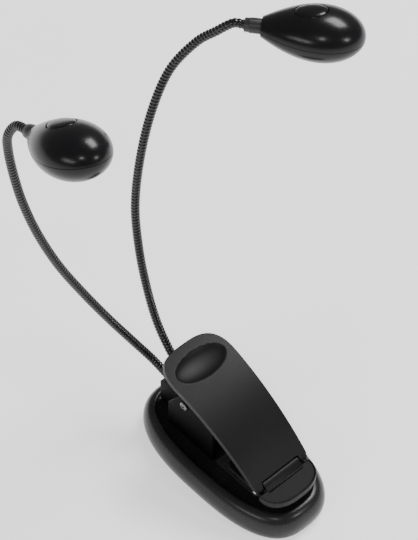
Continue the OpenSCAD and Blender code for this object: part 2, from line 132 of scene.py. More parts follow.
def lens_material():
    m, nt, bsdf = new_material("clear_lens")
    coord = nt.nodes.new("ShaderNodeTexCoord")
    fine = node(nt, "ShaderNodeTexNoise", Scale=900, Detail=4.0)
    nt.links.new(coord.outputs["Object"], fine.inputs["Vector"])
    gloss = ramp(nt, fine.outputs["Fac"], [(0.3, 0.03), (0.7, 0.09)])
    nt.links.new(gloss.outputs["Color"], bsdf.inputs["Roughness"])
    tint = ramp(nt, fine.outputs["Fac"], [(0.2, (0.90, 0.93, 0.95)), (0.8, (0.97, 0.98, 1.0))])
    nt.links.new(tint.outputs["Color"], bsdf.inputs["Base Color"])
    bsdf.inputs["Transmission Weight"].default_value = 0.92
    bsdf.inputs["IOR"].default_value = 1.49
    return m


LENS = lens_material()


# ---------------------------------------------------------------- mesh helpers (millimetres in, metres out)

def mesh_object(name, verts, faces, material, smooth_angle=35):
    me = bpy.data.meshes.new(name)
    me.from_pydata([tuple(float(c) * MM for c in v) for v in verts], [], faces)
    me.validate()
    me.update()
    o = bpy.data.objects.new(name, me)
    bpy.context.scene.collection.objects.link(o)
    me.materials.append(material)
    finish_normals(o, smooth_angle)
    return o


def finish_normals(o, smooth_angle):
    bm = bmesh.new()
    bm.from_mesh(o.data)
    bmesh.ops.recalc_face_normals(bm, faces=bm.faces)
    bm.to_mesh(o.data)
    bm.free()
    o.data.shade_smooth()
    o.data.set_sharp_from_angle(angle=math.radians(smooth_angle))


def bevel(o, width, segments, angle):
    b = o.modifiers.new("bevel", "BEVEL")
    b.width = width * MM
    b.segments = segments
    b.limit_method = "ANGLE"
    b.angle_limit = math.radians(angle)
    b.use_clamp_overlap = True


def bake(o, smooth_angle=35):
    """Turns the object's modifiers into plain mesh."""
    deps = bpy.context.evaluated_depsgraph_get()
    deps.update()
    me = bpy.data.meshes.new_from_object(o.evaluated_get(deps))
    o.modifiers.clear()
    o.data = me
    me.shade_smooth()
    me.set_sharp_from_angle(angle=math.radians(smooth_angle))
    return o


def cut(o, *tools, operation="DIFFERENCE"):
    """Takes the tools away from an object, or keeps what both share, and deletes the tools."""
    for t in tools:
        b = o.modifiers.new("cut", "BOOLEAN")
        b.operation = operation
        b.solver = "EXACT"
        b.object = t
    bake(o)
    for t in tools:
        bpy.data.objects.remove(t)
    return o


def join(name, *objs):
    """One mesh from several, keeping each face's material."""
    verts, faces, mats, slots = [], [], [], []
    for o in objs:
        base = len(verts)
        verts += [tuple(o.matrix_world @ v.co) for v in o.data.vertices]
        for p in o.data.polygons:
            faces.append([base + i for i in p.vertices])
            mat = o.data.materials[p.material_index]
            if mat not in slots:
                slots.append(mat)
            mats.append(slots.index(mat))
    me = bpy.data.meshes.new(name)
    me.from_pydata(verts, [], faces)
    for m in slots:
        me.materials.append(m)
    me.update()
    me.polygons.foreach_set("material_index", mats)
    me.shade_smooth()
    me.set_sharp_from_angle(angle=math.radians(35))
    for o in objs:
        bpy.data.objects.remove(o)
    out = bpy.data.objects.new(name, me)
    bpy.context.scene.collection.objects.link(out)
    return out


def loft(name, rings, material, smooth_angle=35):
    """Closed skin through rings of equal length, with a cap on the first and the last."""
    n = len(rings[0])
    verts = [p for r in rings for p in r]
    faces = []
    for i in range(len(rings) - 1):
        a, b = i * n, (i + 1) * n
        for j in range(n):
            k = (j + 1) % n
            faces.append([a + j, a + k, b + k, b + j])
    faces.append(list(range(n))[::-1])
    faces.append([(len(rings) - 1) * n + j for j in range(n)])
    return mesh_object(name, verts, faces, material, smooth_angle)


def circle(centre, u, v, r, n):
    """Points round a centre, in the plane of the unit vectors u and v."""
    turns = [2 * math.pi * k / n for k in range(n)]
    return [tuple(centre + (u * math.cos(a) + v * math.sin(a)) * r) for a in turns]


def oval(x, half_l, half_w, z, n):
    """Level oval ring about a point on the X axis."""
    turns = [2 * math.pi * k / n for k in range(n)]
    return [(x + half_l * math.cos(a), half_w * math.sin(a), z) for a in turns]


def prism(name, points, y0, y1, material, round_by):
    """Side-view outline of [x, z] points, from y0 to y1, with rounded edges."""
    rings = [[(x, y, z) for x, z in points] for y in (y0, y1)]
    o = loft(name, rings, material, smooth_angle=30)
    if round_by:
        bevel(o, round_by, 3, 25)
        bake(o)
    return o


def turned(name, profile, material, origin, axis, n=48, smooth_angle=35):
    """Body of revolution: profile of (distance along axis, radius) points."""
    a = Vector(axis).normalized()
    u = a.orthogonal().normalized()
    v = a.cross(u)
    rings = [circle(Vector(origin) + a * h, u, v, max(r, AXIS), n) for h, r in profile]
    return loft(name, rings, material, smooth_angle)


def rounded_pin(name, origin, axis, length, r, material, edge=0.3, n=40):
    rounding = [(edge * (1 - math.cos(a)), r - edge + edge * math.sin(a)) for a in np.linspace(0.3, math.pi / 2, 5)]
    prof = [(0, AXIS), (0, r - edge)] + rounding
    prof += [(length - h, radius) for h, radius in reversed(rounding)]
    prof += [(length, r - edge), (length, AXIS)]
    return turned(name, prof, material, origin, axis, n)


def tube(name, path, r, material, n):
    """Round wire along a path, with parallel-carried rings."""
    pts = [Vector(p) for p in path]
    rings = []
    u = None
    for i, p in enumerate(pts):
        d = (pts[min(i + 1, len(pts) - 1)] - pts[max(i - 1, 0)]).normalized()
        u = d.orthogonal().normalized() if u is None else (u - d * u.dot(d)).normalized()
        v = d.cross(u)
        rings.append(circle(p, u, v, r, n))
    return loft(name, rings, material)


def power(v, p):
    return math.copysign(abs(v) ** p, v)


# ---------------------------------------------------------------- base

# Half sizes of the base, the heights of its widest outline and tray, and its squareness at mouth and neck ends
BASE_L, BASE_W = 52.5, 26.4
BULGE_Z, DECK_Z = 6, 13.4
FRONT_POWER, REAR_POWER = 2.77, 2.54


def outline(inset, z, n=180):
    pts = []
    for i in range(n):
        t = 2 * math.pi * i / n
        e = FRONT_POWER if math.cos(t) > 0 else REAR_POWER
        x = (BASE_L - inset) * power(math.cos(t), 2 / e)
        y = (BASE_W - inset) * power(math.sin(t), 2 / e)
        pts.append((x, y, z))
    return pts


def make_base():
    # Ceiling and wall of the battery bay, seen when the door is open, then the rim round the cover
    prof = [(13.0, 12.0), (5.2, 12.0), (4.5, 11.5), (4.2, 7.8), (3.4, 7.4), (3.2, 0.9), (2.4, 0.35)]
    # Outside, from the foot of the wall over the widest outline up to the crest
    lower = np.linspace(math.radians(80), 0, 9)
    upper = np.linspace(math.radians(6), math.radians(82), 15)
    prof += [(2.3 * (1 - math.cos(a)), BULGE_Z - 5.7 * math.sin(a)) for a in lower]
    prof += [(5.3 * (1 - math.cos(a)), BULGE_Z + 9.0 * math.sin(a)) for a in upper]
    # Rolled lip, then the hollow slope down to the tray
    prof += [(4.85, 14.98), (5.15, 15.08), (5.6, 15.1), (5.95, 14.98), (6.2, 14.74), (6.6, 14.5), (7.3, 14.22),
             (8.3, 13.93), (9.6, 13.65), (10.8, 13.48), (11.9, 13.42), (13.0, DECK_Z)]
    return loft("base_skin", [outline(i, z) for i, z in prof], BASE)


shell = make_base()
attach(shell, "base")

# Side view of the clip: the lever's pivot, the cross screw, and the ears with their round top over the pivot
PIVOT_X, PIVOT_Z = -5, 38.5
CROSS_X, CROSS_Z = -19.5, 37.5
EAR_IN, EAR_OUT = 10.2, 12.6
EAR = [(0, 12.9), (0, 38.5), (-0.35, 40.4), (-1.46, 42.03), (-3.1, 43.1), (-5, 43.5), (-14, 42.6), (-21, 41.4),
       (-23.3, 40.5), (-31.6, 29), (-31.6, 12.9)]
BOSS = [(0, AXIS), (0, 3.6), (0.2, 3.6), (0.4, 3.4), (0.4, 1.8), (0.15, 1.7), (0.15, AXIS)]
ears = []
for s in (-1, 1):
    y0, y1 = sorted((s * EAR_IN, s * EAR_OUT))
    ears.append(prism("ear", EAR, y0, y1, INNER, 0.7))
    ears.append(turned("boss", BOSS, INNER, (PIVOT_X, s * (EAR_OUT - 0.1), PIVOT_Z), (0, s, 0)))
ear_piece = join("clip_ears", *ears)
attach(ear_piece, "base")
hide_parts("base_shell")

# ---------------------------------------------------------------- underside

COVER_INSET, COVER_T = 2.6, 1.6
DOOR_X, DOOR_HW, DOOR_GAP = -28, 17, 0.2
SCREWS = [(-38, -11), (-38, 11), (20, -20.3), (20, 20.3)]


def plate(name, z0, z1):
    """Plate with the outline of the cover and a rounded lower edge."""
    rings = [outline(COVER_INSET + extra, z0 + dz, 240)
             for dz, extra in ((0, 0.5), (0.15, 0.15), (0.5, 0), (z1 - z0, 0))]
    return loft(name, rings, COVER)


def box_tool(x0, x1, y0, y1, z0, z1):
    return loft("t", [[(x0, y0, z), (x1, y0, z), (x1, y1, z), (x0, y1, z)] for z in (z0, z1)], COVER)


def door_tool(gap):
    """Block as long as the base that takes in the door, less a gap on its three closed sides."""
    return box_tool(DOOR_X + gap, 80, gap - DOOR_HW, DOOR_HW - gap, -1, 3)


under = plate("under_cover", 0, COVER_T)
SINK = [(-1, AXIS), (-1, 2.1), (0.9, 2.1), (1.2, 1.2), (4, 1.2), (4, AXIS)]
tools = [door_tool(0)]
tools += [turned("t", SINK, COVER, (x, y, 0), (0, 0, 1), 32) for x, y in SCREWS]
cut(under, *tools)
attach(under, "base")
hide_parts("bottom_cover")

door = plate("sliding_door", 0.02, COVER_T - 0.1)
cut(door, door_tool(DOOR_GAP), operation="INTERSECT")
# Finger grips across the door, each shorter than the one before
grips = [box_tool(31 + 2.4 * i, 32.1 + 2.4 * i, -8 + 0.5 * i, 8 - 0.5 * i, -1, 0.5) for i in range(6)]
cut(door, *grips)
bevel(door, 0.12, 2, 40)
bake(door)
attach(door, "door")
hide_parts("battery_door")


def cross_screw(name, origin, axis, head_r, head_h, shank_r, shank_l, recess=0.8, metal_look=STEEL):
    """Pan-head cross-recess screw; axis points out of the head."""
    a = Vector(axis).normalized()
    prof = [(-shank_l, AXIS), (-shank_l, shank_r * 0.7), (-shank_l + 0.5, shank_r)]
    pitch, z = 0.7, -shank_l + 0.5
    while z < -0.8:
        prof += [(z + pitch * 0.5, shank_r * 0.84), (z + pitch, shank_r)]
        z += pitch
    prof += [(0, shank_r), (0, head_r - 0.1), (head_h * 0.25, head_r), (head_h * 0.6, head_r * 0.93),
             (head_h * 0.85, head_r * 0.72), (head_h, head_r * 0.4), (head_h, AXIS)]
    o = turned(name, prof, metal_look, origin, axis, 40)
    u = a.orthogonal().normalized()
    v = a.cross(u)
    slots = []
    c = Vector(origin) + a * head_h
    slot_w, slot_l = head_r * 0.16, head_r * 0.62
    corners = ((-1, -1), (1, -1), (1, 1), (-1, 1))
    for p, q in ((u, v), (v, u)):
        top = [tuple(c + p * sx * slot_l + q * sy * slot_w + a * 0.3) for sx, sy in corners]
        low = [tuple(c + p * sx * slot_l * 0.55 + q * sy * slot_w * 0.7 - a * recess) for sx, sy in corners]
        slots.append(loft("t", [low, top], STEEL))
    return cut(o, *slots)


under_screws = join("under_screws", *[cross_screw("s", (x, y, 0.95), (0, 0, -1), 1.95, 0.75, 1.0, 6.0, 0.5)
                                      for x, y in SCREWS])
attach(under_screws, "base")
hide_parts("cover_screws")

# Centre lines of the necks, from the block to the tails of the heads. A fitting program moved rounded start values
# to these; this is a departure from the message.
ROUTES = {
    "l": [(-40, -3.6, 32), (-48.6, -6.4, 40.1), (-56.3, -12.5, 52.8), (-62.8, -21, 70.4),
          (-67.9, -30.8, 92.1), (-71.8, -40.7, 116.1), (-74.7, -48.5, 140.6), (-77.2, -53.4, 163),
          (-79, -55.6, 181.4), (-79.6, -56.7, 196.1), (-78.1, -57.2, 207.1), (-73.579, -55.711, 215.283),
          (-65.3, -56, 218.8)],
    "r": [(-40, 3.6, 32), (-49.1, 3.5, 41.2), (-57.1, 3.3, 54.9), (-63.6, 3.6, 73.1), (-69, 4.3, 95.2),
          (-73.1, 6.4, 120), (-74.9, 11.8, 146.1), (-75.2, 19.8, 171.2), (-73.2, 28.9, 191.6),
          (-67.1, 38.7, 206), (-60.2, 44.6, 213.9), (-55.24, 49.822, 218.7), (-51.3, 52.9, 218.7)]}
# Yaw, lift and roll of each head, in degrees
TURN = {"l": (-2, 23, -8), "r": (38, 0, -11)}

# ---------------------------------------------------------------- neck block, its screw and nut

BLOCK_Z, BLOCK_HW, TONGUE_HW = 13.5, 6.5, 10.0
block_pts = [(-44, 15.1), (-38.6, BLOCK_Z), (-29.5, BLOCK_Z), (-29.5, 34.0), (-30.3, 34.5), (-36.4, 35.0),
             (-37.1, 34.8), (-44, 28)]
tongue_pts = [(-31.5, BLOCK_Z), (-15, BLOCK_Z), (-15, 40.4), (-23, 40.2), (-31.5, 28.6)]
block = prism("neck_block_body", block_pts, -BLOCK_HW, BLOCK_HW, INNER, 0.8)
tongue = prism("tongue", tongue_pts, -TONGUE_HW, TONGUE_HW, INNER, 0.6)
parts = [block, tongue]
for route in ROUTES.values():
    way = (Vector(route[1]) - Vector(route[0])).normalized()
    parts.append(turned("collar", [(0, 2.3), (0, 3.15), (0.75, 3.1), (1.15, 2.8), (1.15, 2.3)], INNER,
                        Vector(route[0]) - way * 0.4, way, 40))
block_piece = join("neck_block_skin", *parts)
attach(block_piece, "base")
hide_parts("neck_block")

screw = cross_screw("clip_cross_screw", (CROSS_X, -EAR_OUT, CROSS_Z), (0, -1, 0), 2.4, 1.45, 1.5, 27.5, 0.9,
                    DARK_STEEL)
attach(screw, "base")
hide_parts("block_screw")

NUT = [(0, 1.6), (0, 2.75), (0.3, 3.1), (1.7, 3.1), (2.0, 2.75), (2.0, 1.6), (1.7, 1.45), (0.3, 1.45)]
nut = turned("clip_cross_nut", NUT, STEEL, (CROSS_X, EAR_OUT, CROSS_Z), (0, 1, 0), 6, 20)
bevel(nut, 0.12, 2, 30)
bake(nut, 30)
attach(nut, "base")
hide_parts("block_nut")

# ---------------------------------------------------------------- lever

# Foot hinge; length, rise, thickness and slope of the lever; its half width at the hinge and what it gains
HX, HZ = 32.4, 24.8
LEVER_L, BOW, THICK, SLOPE = 75.4, 6.0, 3.0, math.radians(25.5)
HW_HINGE, HW_GAIN = 16.4, 2.4
END_L, END_POWER = 20, 3.1
CHORD = (Matrix.Translation((HX, 0, HZ)) @ Matrix.Rotation(SLOPE, 4, "Y")
         @ Matrix.Rotation(math.pi, 4, "Z"))
ARC_R = (LEVER_L ** 2 / 4 + BOW ** 2) / (2 * BOW)
ARC_Z = 2.2 + BOW - ARC_R
# Middle of the thumb hollow, its half sizes, depth and fullness
THUMB_X = LEVER_L - 12.6
THUMB_HX, THUMB_HY, THUMB_D, THUMB_POWER = 7.2, 14.6, 2.3, 0.7


def lever_place(x, y, z):
    return tuple(CHORD @ Vector((x, y, z)))


def top_z(x):
    return ARC_Z + math.sqrt(ARC_R ** 2 - (x - LEVER_L / 2) ** 2)


def lever_top(x, y):
    z = top_z(x)
    r2 = ((x - THUMB_X) / THUMB_HX) ** 2 + (y / THUMB_HY) ** 2
    if r2 < 1:
        z -= THUMB_D * (1 - r2) ** THUMB_POWER
    return z


def half_width(x):
    return HW_HINGE + HW_GAIN * x / LEVER_L


def make_lever():
    """Arched plate with the thumb hollow, notched for the barrel of the foot."""
    nu, nv = 150, 84
    flat = []
    for j in range(nv + 1):
        v = math.sin(math.pi / 2 * (2 * j / nv - 1))
        x_end = LEVER_L - END_L + END_L * max(0.0, 1 - abs(v) ** END_POWER) ** (1 / END_POWER)
        for i in range(nu + 1):
            x = x_end * i / nu
            flat.append((x, v * half_width(x)))
    verts = [lever_place(x, y, lever_top(x, y)) for x, y in flat]
    verts += [lever_place(x, y, top_z(x) - THICK) for x, y in flat]
    faces = []
    off, w = len(flat), nu + 1
    for j in range(nv):
        for i in range(nu):
            a = j * w + i
            faces.append([a, a + 1, a + w + 1, a + w])
            faces.append([off + a, off + a + w, off + a + w + 1, off + a + 1])
    rim = [j * w for j in range(nv + 1)] + [nv * w + i for i in range(1, nu + 1)]
    rim += [j * w + nu for j in range(nv - 1, -1, -1)] + list(range(nu - 1, 0, -1))
    for a, b in zip(rim, rim[1:] + rim[:1]):
        faces.append([a, b, off + b, off + a])
    o = mesh_object("lever_plate", verts, faces, LEVER, 50)
    notch = turned("t", [(0, AXIS), (0, 3.2), (23.2, 3.2), (23.2, AXIS)], LEVER, (HX, -11.6, HZ), (0, 1, 0), 48)
    cut(o, notch)
    bevel(o, 0.55, 3, 50)
    return bake(o, 40)


KNUCKLE = [(0, AXIS), (0, 1.9), (0.3, 2.2), (3.9, 2.2), (4.2, 1.9), (4.2, AXIS)]
CHEEK = [(-9, 37), (-7.6, 35), (-5, 34), (-2.4, 35), (-1, 37), (4.5, 46.4), (-9, 51.4)]
CHEEK_IN, CHEEK_OUT = 7.2, 9.7
lever_parts = [make_lever()]
for s in (-1, 1):
    lever_parts.append(turned("knuckle", KNUCKLE, LEVER, (HX, s * 11.9, HZ), (0, s, 0), 40))
    y0, y1 = sorted((s * CHEEK_IN, s * CHEEK_OUT))
    lever_parts.append(prism("cheek", CHEEK, y0, y1, LEVER, 0.5))
lever_piece = join("clip_lever", *lever_parts)
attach(lever_piece, "lever_arm")
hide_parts("lever")

PIN_L, PIN_R = 25.7, 1.5
pin = rounded_pin("clip_pivot_pin", (PIVOT_X, -PIN_L / 2, PIVOT_Z), (0, 1, 0), PIN_L, PIN_R, STEEL, 0.35)
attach(pin, "base")
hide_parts("lever_pin")

# Torsion spring: a leg down to the tray, the coil round the pin, and a leg up along the lever
COIL_R, COIL_Y, COIL_L, COIL_TURNS, WIRE_R, STEPS = 3.9, 6.1, 12.0, 7.25, 0.7, 36
coil = [(PIVOT_X - COIL_R, COIL_Y, 14.2), (PIVOT_X - COIL_R, COIL_Y, 36)]
for k in range(int(COIL_TURNS * STEPS) + 1):
    a = math.pi + 2 * math.pi * k / STEPS
    f = k / (COIL_TURNS * STEPS)
    coil.append((PIVOT_X + COIL_R * math.cos(a), COIL_Y - COIL_L * f, PIVOT_Z - COIL_R * math.sin(a)))
end = Vector(coil[-1])
leg_way = Vector((-0.883, 0, 0.469))
coil += [tuple(end + leg_way * d) for d in (2, 6, 11, 16.5)]
spring = tube("clip_torsion_spring", coil, WIRE_R, STEEL, 12)
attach(spring, "lever_arm")
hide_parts("torsion_spring")

# ---------------------------------------------------------------- foot of the jaw, pads

FRONT_X, FOOT_TOP, FOOT_STEP, FOOT_LOW, FOOT_HW = 47.3, 24.5, 20.3, 17.5, 16.1
# Height of the foot's face inside its raised rim
FOOT_FACE = FOOT_TOP - 0.36
# Middles of the rounded corners of the foot's sole, and their radius
SOLE_X0, SOLE_X1, SOLE_Y, SOLE_R = 13, 39, 9.2, 4


def foot_outline(inset, z, n=90):
    """Rounded mouth end of the foot, from one side to the other."""
    pts = []
    x0 = HX + 3.2
    for i in range(n + 1):
        a = math.radians(-90 + 180 * i / n)
        pts.append((x0 + (FRONT_X - x0 - inset) * power(max(math.cos(a), 0), 2 / 2.3),
                    (FOOT_HW - inset) * power(math.sin(a), 2 / 2.5), z))
    return pts


def make_foot():
    """Front of the foot with a raised rim, sole behind it, and the hinge barrel on its web."""
    edge = [(1.0, FOOT_STEP), (0.4, FOOT_STEP + 0.15), (0.1, FOOT_STEP + 0.5), (0, FOOT_STEP + 1.2),
            (0, FOOT_TOP - 0.5), (0.08, FOOT_TOP - 0.15), (0.3, FOOT_TOP + 0.02), (0.65, FOOT_TOP + 0.02),
            (0.85, FOOT_TOP - 0.12), (1.0, FOOT_TOP - 0.32), (2.2, FOOT_FACE)]
    front_part = loft("foot_front", [foot_outline(i, z) for i, z in edge], LEVER)
    rear = []
    for ins, z in ((0.8, FOOT_LOW), (0.2, FOOT_LOW + 0.3), (0, FOOT_LOW + 0.8), (0, 19.6), (0.25, 20.1),
                   (0.8, FOOT_STEP + 0.1)):
        ring = []
        corners = ((SOLE_X1, SOLE_Y), (SOLE_X0, SOLE_Y), (SOLE_X0, -SOLE_Y), (SOLE_X1, -SOLE_Y))
        for turn, (cx, cy) in enumerate(corners):
            for k in range(9):
                a = math.radians(90 * turn + 90 * k / 8)
                ring.append((cx + (SOLE_R - ins) * math.cos(a), cy + (SOLE_R - ins) * math.sin(a), z))
        rear.append(ring)
    rear_part = loft("foot_rear", rear, LEVER)
    barrel_hy = 11.2
    web_pts = [(HX - 1.7, FOOT_LOW + 1.2), (HX + 5, FOOT_LOW + 1.2), (HX + 5, FOOT_FACE), (HX + 3.9, FOOT_FACE),
               (HX + 3.6, FOOT_TOP - 0.1), (HX + 1.3, HZ + 1.6), (HX - 1.7, HZ + 0.2)]
    web = prism("web", web_pts, -barrel_hy, barrel_hy, LEVER, 0.25)
    barrel_prof = [(0, AXIS), (0, 1.95), (0.25, 2.2), (22.15, 2.2), (2 * barrel_hy, 1.95), (2 * barrel_hy, AXIS)]
    barrel = turned("barrel", barrel_prof, LEVER, (HX, -barrel_hy, HZ), (0, 1, 0), 40)
    return join("jaw_foot_body", front_part, rear_part, web, barrel)


foot = make_foot()
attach(foot, "foot")
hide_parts("jaw_foot")

FOOT_PIN_L, FOOT_PIN_R = 32.9, 0.9
fpin = rounded_pin("foot_hinge_pin", (HX, -FOOT_PIN_L / 2, HZ), (0, 1, 0), FOOT_PIN_L, FOOT_PIN_R, STEEL, 0.25, 28)
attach(fpin, "foot")
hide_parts("foot_pin")


def ribbed_pad(name, x0, x1, hy, z0, z1, rib, up):
    """Rubber pad with rounded cross ribs on its gripping side."""
    rib_depth = 0.35
    grip_z, back_z, way = (z1, z0, -1) if up else (z0, z1, 1)
    pts = []
    for x in np.arange(x0, x1 + 0.01, rib / 8):
        pts.append((x, grip_z + way * rib_depth * (0.5 - 0.5 * math.cos(2 * math.pi * (x - x0) / rib))))
    pts += [(x1, back_z), (x0, back_z)]
    return prism(name, pts, -hy, hy, RUBBER, 0)


pad_low = ribbed_pad("tray_grip_pad", 2, 28.8, 12, 13.45, 15.0, 2.68, True)
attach(pad_low, "base")
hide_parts("base_pad")
pad_up = ribbed_pad("foot_grip_pad", 10, 38, 12, 15.3, 17.6, 2.8, False)
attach(pad_up, "foot")
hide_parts("foot_pad")

# ---------------------------------------------------------------- batteries and contacts

CELL_L, CELL_R = 44.5, 5.15
CELL_YS = (-10.8, 0, 10.8)
DECK_T = 1.4
CELL_Z = DECK_Z - DECK_T - CELL_R - 0.1
JACKET = [(0, AXIS), (0, 4.3), (0.15, 4.7), (0.5, 4.9), (0.8, CELL_R), (42.3, CELL_R), (42.7, 4.9), (43.2, 4.5),
          (43.3, 4.1), (43.3, AXIS)]
NUB = [(43.2, 3.9), (43.4, 3.6), (43.5, 1.9), (44.35, 1.85), (CELL_L, 1.6), (CELL_L, AXIS)]
for k, y in enumerate(CELL_YS):
    way = -1 if k == 1 else 1
    c = (-way * CELL_L / 2, y, CELL_Z)
    body = turned("cell", JACKET, CELL, c, (way, 0, 0), 48)
    ends = turned("nub", NUB, STEEL, c, (way, 0, 0), 40)
    cell = join(f"aaa_cell_{k + 1}", body, ends)
    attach(cell, "base")
    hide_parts(f"battery_cell_{k + 1}")

# Contact springs: conical coils from the contact plates to the flat ends of the cells
CONE_TURNS, CONE_STEPS = 3.5, 95
wires = []
for k, y in enumerate(CELL_YS):
    way = 1 if k == 1 else -1
    path = []
    for i in range(CONE_STEPS + 1):
        f = i / CONE_STEPS
        a = 2 * math.pi * CONE_TURNS * f
        r = 3.4 - 1.2 * f
        path.append((way * (25.2 - 2.7 * f), y + r * math.cos(a), CELL_Z + r * math.sin(a)))
    wires.append(tube("w", path, 0.28, STEEL, 8))
cones = join("contact_cone_springs", *wires)
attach(cones, "base")
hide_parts("contact_springs")

# ---------------------------------------------------------------- necks

# Radius of the neck, pitch and height of its helical rib, rings to a pitch and points to a ring
NECK_R, PITCH, RIB = 2.2, 1.7, 0.30
PER_PITCH, RING_N = 16, 20
# Places along a route are counted in steps, five to each stretch between two of its points
STEP = 5
# Lengths of neck hidden in the block and in the tail socket
ROOT_IN, TIP_IN = 3.0, 6.5
# Where the neck is parted into meshes, and a stretch within each mesh
CUTS = [0, 12.5, 27, 40.5, 60]
ZONES = [(2, 8), (17, 23), (31, 37), (44, 50)]


def route_point(p, i):
    """Point at place i on a smooth curve through the points p."""
    k = min(max(math.floor(i / STEP), 0), len(p) - 2)
    t = i / STEP - k

    def knot(j):
        if j < 0:
            return 2 * p[0] - p[1]
        if j >= len(p):
            return 2 * p[-1] - p[-2]
        return p[j]

    a, b, c, d = knot(k - 1), knot(k), knot(k + 1), knot(k + 2)
    return 0.5 * (2 * b + (c - a) * t + (2 * a - 5 * b + 4 * c - d) * t * t + (3 * b - a - 3 * c + d) * t ** 3)


def neck_rings(p):
    """Rings of the ribbed neck along the route p, and the place of each ring on the route."""
    idx = np.linspace(0, CUTS[-1], 2401)
    pts = [route_point(p, i) for i in idx]
    d0 = (pts[1] - pts[0]).normalized()
    d1 = (pts[-1] - pts[-2]).normalized()
    pts = [pts[0] - d0 * ROOT_IN] + pts + [pts[-1] + d1 * TIP_IN]
    idx = np.concatenate([[0.0], idx, [CUTS[-1]]])
    xyz = np.array([tuple(q) for q in pts])
    seg = np.linalg.norm(np.diff(xyz, axis=0), axis=1)
    s = np.concatenate([[0], np.cumsum(seg)])
    ss = np.linspace(0, s[-1], int(s[-1] / PITCH * PER_PITCH) + 1)
    cen = np.stack([np.interp(ss, s, xyz[:, k]) for k in range(3)], axis=1)
    ids = np.interp(ss, s, idx)
    tan = np.gradient(cen, axis=0)
    tan /= np.linalg.norm(tan, axis=1)[:, None]
    ang = 2 * np.pi * np.arange(RING_N) / RING_N
    rings = []
    u = np.array(Vector(tan[0]).orthogonal().normalized())
    for c, t, dist in zip(cen, tan, ss):
        u = u - t * (u @ t)
        u /= np.linalg.norm(u)
        v = np.cross(t, u)
        wave = np.cos(2 * np.pi * dist / PITCH - ang)
        r = NECK_R - RIB + RIB * np.sqrt(np.clip(0.5 + 0.5 * wave, 0, 1))
        ring = c + r[:, None] * (np.cos(ang)[:, None] * u + np.sin(ang)[:, None] * v)
        rings.append([tuple(q) for q in ring])
    return rings, ids


def make_neck(side):
    p = [Vector(q) for q in ROUTES[side]]
    rings, ids = neck_rings(p)
    nodes_of = [("root", "bend_1"), ("lower", "bend_2"), ("middle", "bend_3"), ("upper", "bend_4", "tip")]
    for k in range(4):
        lo = 0 if k == 0 else int(np.searchsorted(ids, CUTS[k]))
        hi = len(rings) - 1 if k == 3 else int(np.searchsorted(ids, CUTS[k + 1]))
        o = loft(f"gooseneck_{side}_{k + 1}", rings[lo:hi + 1], NECK, smooth_angle=80)
        a, b = (route_point(p, z) for z in ZONES[k])
        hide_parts(*[f"neck_{side}_{q}" for q in nodes_of[k]])
        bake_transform(o)


# ---------------------------------------------------------------- heads

# Length, width and thickness of the head, and the distance of its widest place from the tail
HEAD_L, HEAD_W, HEAD_T, WIDE_X = 52.5, 29.6, 23.8, 33.5
TAPER_L, WALL = 34, 1.6
# Parting plane of the two shells and half the gap left along it
PART_Z, PART_TILT, PART_GAP = -0.3, math.radians(0.6), 0.12
BUTTON_X, BUTTON_HX, BUTTON_HY = 28.4, 7.2, 5.8
POST_X, POST_YS = 19, (-3.4, 3.4)
BOARD_Z, LED_YS, LED_R, LED_DROP = -5.2, (-4.5, 4.5), 1.5, 1.55


def egg(x):
    """Fullness of the head at a distance from the tail, from 0 to 1."""
    if x < WIDE_X:
        return math.cos(math.pi / 2 * (WIDE_X - x) / TAPER_L)
    return math.sqrt(max(0.0, 1 - ((x - WIDE_X) / (HEAD_L - WIDE_X)) ** 2))


def egg_mesh(name, shrink=0.0, n=96):
    """Whole head as a closed egg, or a smaller one inside it."""
    xs = list(np.linspace(7.5 + shrink, WIDE_X, 34))[:-1]
    xs += [WIDE_X + (HEAD_L - WIDE_X - shrink) * math.sin(a) for a in np.linspace(0, math.radians(89.2), 34)]
    rings = []
    for x in xs:
        if shrink and x > WIDE_X:
            f = math.sqrt(max(0.0, 1 - ((x - WIDE_X) / (HEAD_L - WIDE_X - shrink)) ** 2))
        else:
            f = egg(x)
        wall = shrink * (1 if x <= WIDE_X else f)
        hy, hz = max(HEAD_W / 2 * f - wall, 0.05), max(HEAD_T / 2 * f - wall, 0.04)
        rings.append([(x, hy * math.cos(2 * math.pi * k / n), hz * math.sin(2 * math.pi * k / n)) for k in range(n)])
    return loft(name, rings, HEAD)


def oval_tool(x, length, width, z0, z1):
    return loft("t", [oval(x, length / 2, width / 2, z, 64) for z in (z0, z1)], HEAD)


def half(o, up):
    """Keeps the part of the egg on one side of the sloping parting plane, and closes it."""
    normal = Vector((math.sin(PART_TILT), 0, math.cos(PART_TILT)))
    point = normal * (PART_Z + (PART_GAP if up else -PART_GAP)) * MM
    bm = bmesh.new()
    bm.from_mesh(o.data)
    geom = bm.verts[:] + bm.edges[:] + bm.faces[:]
    r = bmesh.ops.bisect_plane(bm, geom=geom, plane_co=point, plane_no=normal, clear_inner=up, clear_outer=not up)
    edges = [g for g in r["geom_cut"] if isinstance(g, bmesh.types.BMEdge)]
    bmesh.ops.edgeloop_fill(bm, edges=edges)
    bmesh.ops.recalc_face_normals(bm, faces=bm.faces)
    bm.to_mesh(o.data)
    bm.free()
    o.data.shade_smooth()
    o.data.set_sharp_from_angle(angle=math.radians(35))
    return o


